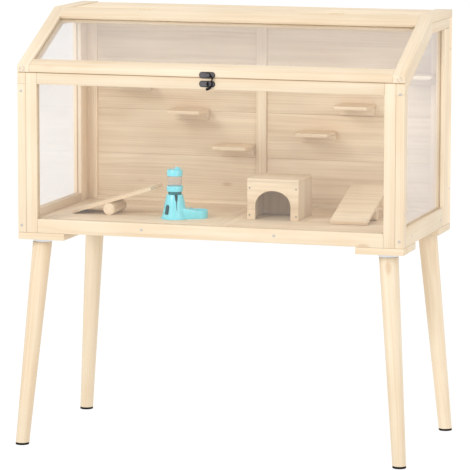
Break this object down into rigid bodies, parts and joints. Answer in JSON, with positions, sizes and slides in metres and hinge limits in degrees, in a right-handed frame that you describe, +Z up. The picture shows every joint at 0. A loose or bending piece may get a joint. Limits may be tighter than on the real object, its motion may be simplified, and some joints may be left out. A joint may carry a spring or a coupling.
{
  "type": "hamster cage",
  "caption": "Pine hamster cage on splayed legs, with clear acrylic walls, a sloping lift-up lid, wall shelves, rocking ramps, an arched house and a feeder.",
  "frame": {"origin": "on the floor, under the middle of the cage, midway between the feet", "axes": "+X to the right seen from the front, +Y from front to back, +Z up"},
  "size_m": [1.022, 0.53, 1.0972],
  "materials": {
    "pine": "clear matt lacquer on pale pine",
    "board": "plain pine board",
    "acrylic": "clear polished acrylic",
    "latch": "black, satin",
    "zinc": "plain zinc plate",
    "turquoise": "glossy turquoise",
    "clear_plastic": "clear, slightly frosted"
  },
  "bodies": {
    "cage": {"back_batten": "pine", "back_panel_left": "board", "back_panel_right": "board", "floor_joist_left": "pine", "floor_joist_right": "pine", "floor_panel_left": "board", "floor_panel_right": "board", "front_bottom_rail": "pine", "front_pane": "acrylic", "front_stile_left": "pine", "front_stile_right": "pine", "front_top_rail": "pine", "hinge_left_top_leaf": "zinc", "hinge_right_top_leaf": "zinc", "latch_lower_plate": "latch", "left_side_bottom_rail": "pine", "left_side_front_stile": "pine", "left_side_pane": "acrylic", "left_side_rear_stile": "pine", "left_side_upper_rail": "pine", "leg_back_left": "pine", "leg_back_right": "pine", "leg_front_left": "pine", "leg_front_right": "pine", "leg_plate_back_left": "pine", "leg_plate_back_right": "pine", "leg_plate_front_left": "pine", "leg_plate_front_right": "pine", "ridge_rail": "pine", "right_side_bottom_rail": "pine", "right_side_front_stile": "pine", "right_side_pane": "acrylic", "right_side_rear_stile": "pine", "right_side_upper_rail": "pine", "shelf_far_left": "board", "shelf_far_right": "board", "shelf_lower_left": "board", "shelf_lower_right": "board", "shelf_upper_left": "board", "shelf_upper_right": "board", "top_panel": "board"},
    "lid": {"lid_stile_left": "pine", "lid_stile_right": "pine", "lid_bottom_rail": "pine", "lid_top_rail": "pine", "lid_pane": "acrylic", "hinge_left_lid_leaf": "zinc", "hinge_right_lid_leaf": "zinc", "latch_upper_plate": "latch"},
    "hook": {"latch_hook": "latch"},
    "left_log": {"left_ramp_log": "board"},
    "left_board": {"left_ramp_board": "board"},
    "right_log": {"right_ramp_log": "board"},
    "right_board": {"right_ramp_board": "board"},
    "house": {"house_front": "pine", "house_walls": "pine", "house_roof": "pine"},
    "feeder": {"feeder_base": "turquoise"},
    "bottle": {"feeder_bottle": "clear_plastic"},
    "bottle_cap": {"feeder_cap": "turquoise"}
  },
  "joints": [
    {"name": "lid_hinge", "type": "hinge", "parent": "cage", "child": "lid", "pos_m": [0, 0.03, 1.0953], "axis": [-1, 0, 0], "range_deg": [0, 204]},
    {"name": "latch_swing", "type": "hinge", "parent": "lid", "child": "hook", "pos_m": [0.003, -0.2559, 0.957], "axis": [0, -1, 0], "range_deg": [0, 110]},
    {"name": "left_ramp_lift", "type": "slide", "parent": "cage", "child": "left_log", "axis": [0, 0, 1], "range_m": [0, 0.12]},
    {"name": "left_ramp_rock", "type": "hinge", "parent": "left_log", "child": "left_board", "pos_m": [-0.3168, -0.03, 0.5885], "axis": [0, 1, 0], "range_deg": [0, 31]},
    {"name": "right_ramp_lift", "type": "slide", "parent": "cage", "child": "right_log", "axis": [0, 0, 1], "range_m": [0, 0.12]},
    {"name": "right_ramp_rock", "type": "hinge", "parent": "right_log", "child": "right_board", "pos_m": [0.314, 0.027, 0.5885], "axis": [-1, 0, 0], "range_deg": [0, 31]},
    {"name": "house_lift", "type": "slide", "parent": "cage", "child": "house", "axis": [0, 0, 1], "range_m": [0, 0.2]},
    {"name": "feeder_lift", "type": "slide", "parent": "cage", "child": "feeder", "axis": [0, 0, 1], "range_m": [0, 0.2]},
    {"name": "bottle_lift", "type": "slide", "parent": "feeder", "child": "bottle", "axis": [0, 0, 1], "range_m": [0, 0.06]},
    {"name": "cap_lift", "type": "slide", "parent": "bottle", "child": "bottle_cap", "axis": [0, 0, 1], "range_m": [0, 0.03]}
  ]
}
